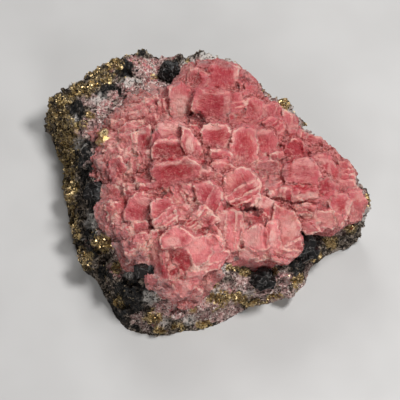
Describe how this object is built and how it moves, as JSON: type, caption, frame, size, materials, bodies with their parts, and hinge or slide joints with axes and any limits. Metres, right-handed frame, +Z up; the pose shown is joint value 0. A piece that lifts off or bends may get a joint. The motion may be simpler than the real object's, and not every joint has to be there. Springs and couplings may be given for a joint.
{
  "type": "mineral specimen",
  "caption": "Hand specimen of pink rhodochrosite crystals on a block of granular pyrite with black sphalerite.",
  "frame": {"origin": "centre of the bounding box at the level of the flat base that the specimen lies on", "axes": "+Z up through the crystals, +X to the right as the specimen faces the viewer, along its longest side"},
  "size_m": [0.1222, 0.1082, 0.049],
  "materials": {
    "rock": "rough broken rock with metallic pyrite grains and grey quartz",
    "rhodochrosite": "translucent pink crystal with pale frosted edges",
    "sphalerite": "black crystal with a resinous shine",
    "pyrite": "bright metallic crystal faces"
  },
  "bodies": {
    "root": {"pyrite_matrix": "rock", "rhodochrosite_crystals": "rhodochrosite", "sphalerite_upper": "sphalerite", "sphalerite_left": "sphalerite", "sphalerite_lower_left": "sphalerite", "sphalerite_front": "sphalerite", "sphalerite_right": "sphalerite", "pyrite_crystals": "pyrite"}
  },
  "joints": []
}
